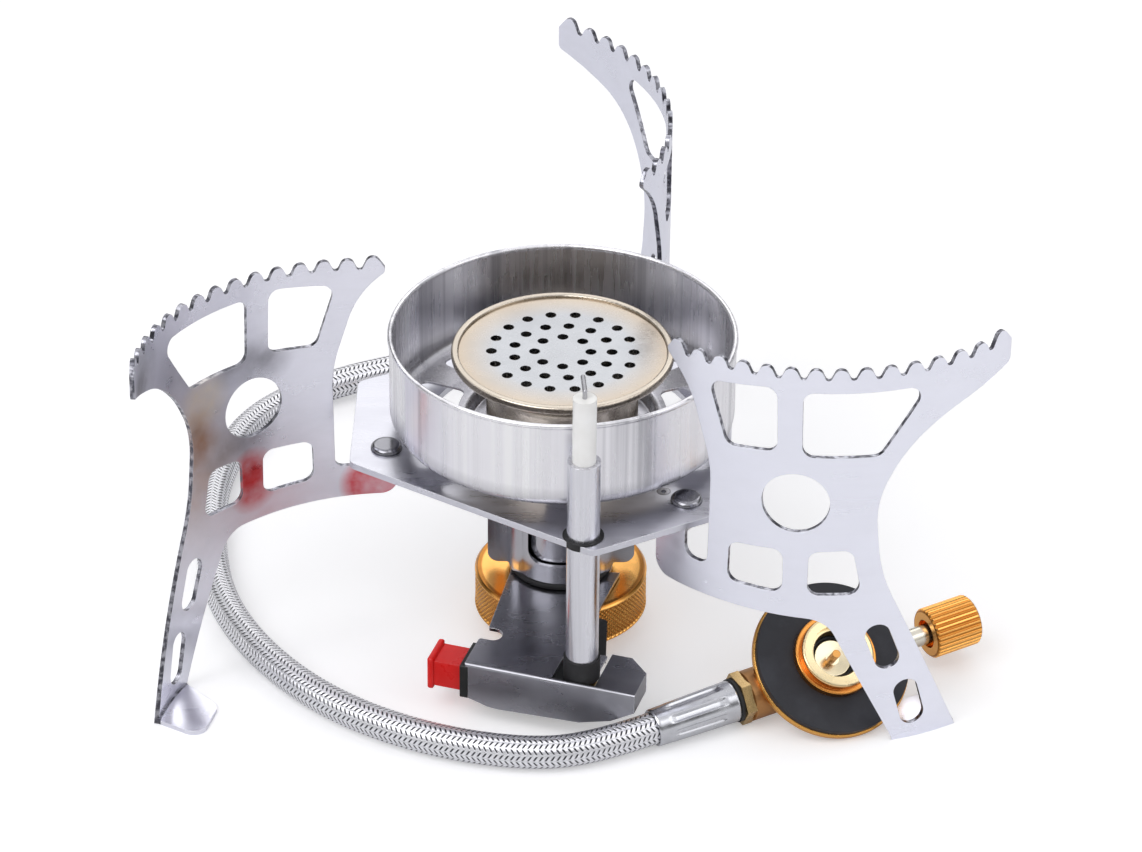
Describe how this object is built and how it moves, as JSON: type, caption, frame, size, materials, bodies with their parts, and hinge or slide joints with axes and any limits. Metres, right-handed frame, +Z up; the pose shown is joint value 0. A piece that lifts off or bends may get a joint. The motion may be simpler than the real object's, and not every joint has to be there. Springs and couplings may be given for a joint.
{
  "type": "canister stove",
  "caption": "Folding gas stove with a deep round wind cup, toothed swing-out legs, a push-button igniter and a braided hose to a canister valve.",
  "frame": {"origin": "on the ground, where the burner's axis meets it", "axes": "+Z up along the burner's axis; -Y towards the electrode's side, where the igniter is; +X towards the canister valve"},
  "size_m": [0.1793, 0.1614, 0.0955],
  "materials": {
    "steel_plate": "brushed",
    "cup_steel": "polished",
    "leg_steel": "satin",
    "burner_steel": "satin",
    "bracket_steel": "satin",
    "gold_alloy": "anodised",
    "brass": "machined",
    "black_rubber": "matt",
    "black_plastic": "matt",
    "red_plastic": "gloss",
    "ceramic": "glazed",
    "hose_braid": "woven braid",
    "spring_steel": "drawn wire"
  },
  "bodies": {
    "stove": {"base_plate": "steel_plate", "detent_eyelets": "steel_plate", "wind_cup": "cup_steel", "burner_head": "burner_steel", "burner_disc": "burner_steel", "mixing_tube": "steel_plate", "hub_hood": "cup_steel", "hub_seal": "black_rubber", "knurled_collar": "gold_alloy", "gas_core": "brass", "gas_jet": "brass", "inlet_fitting": "brass", "rear_ferrule": "steel_plate", "leg_rivets": "steel_plate", "leg_washers": "steel_plate", "igniter_bracket": "bracket_steel", "piezo_body": "black_plastic", "piezo_bezel": "black_plastic", "button_spring": "spring_steel", "electrode_sleeve": "steel_plate", "ceramic_insulator": "ceramic", "electrode_wire": "spring_steel", "rubber_boot": "black_rubber", "sleeve_grommet": "black_rubber", "ignition_lead": "black_rubber", "lead_terminal": "steel_plate", "earth_tab": "brass", "valve_body": "brass", "adapter_flange": "gold_alloy", "flange_pad": "black_rubber", "threaded_collar": "gold_alloy", "valve_o_ring": "black_rubber", "depressor_seat": "brass", "depressor_pin": "brass", "valve_nut": "brass", "ferrule_seal": "black_rubber", "valve_ferrule": "steel_plate", "gland_nut": "gold_alloy", "gas_hose": "hose_braid"},
    "leg_left": {"leg_left": "leg_steel"},
    "leg_right": {"leg_right": "leg_steel"},
    "leg_back": {"leg_back": "leg_steel"},
    "button": {"piezo_button": "red_plastic"},
    "knob": {"control_knob": "gold_alloy", "valve_spindle": "brass"}
  },
  "joints": [
    {"name": "left_leg_swing", "type": "hinge", "parent": "stove", "child": "leg_left", "pos_m": [-0.03741, -0.0088, 0.047], "axis": [0, 0, 1], "range_deg": [-28, 56]},
    {"name": "right_leg_swing", "type": "hinge", "parent": "stove", "child": "leg_right", "pos_m": [0.02633, -0.028, 0.047], "axis": [0, 0, 1], "range_deg": [-43, 2.5]},
    {"name": "back_leg_swing", "type": "hinge", "parent": "stove", "child": "leg_back", "pos_m": [0.01109, 0.0368, 0.047], "axis": [0, 0, 1], "range_deg": [-28, 3]},
    {"name": "button_press", "type": "slide", "parent": "stove", "child": "button", "axis": [0.9532, -0.3024, 0], "range_m": [0, 0.005], "stiffness_N_per_m": 800, "springref_m": -0.002},
    {"name": "knob_turn", "type": "hinge", "parent": "stove", "child": "knob", "pos_m": [0.08293, -0.01546, 0.00817], "axis": [0.8859, 0.4612, 0.0506], "range_deg": [0, 540]}
  ]
}
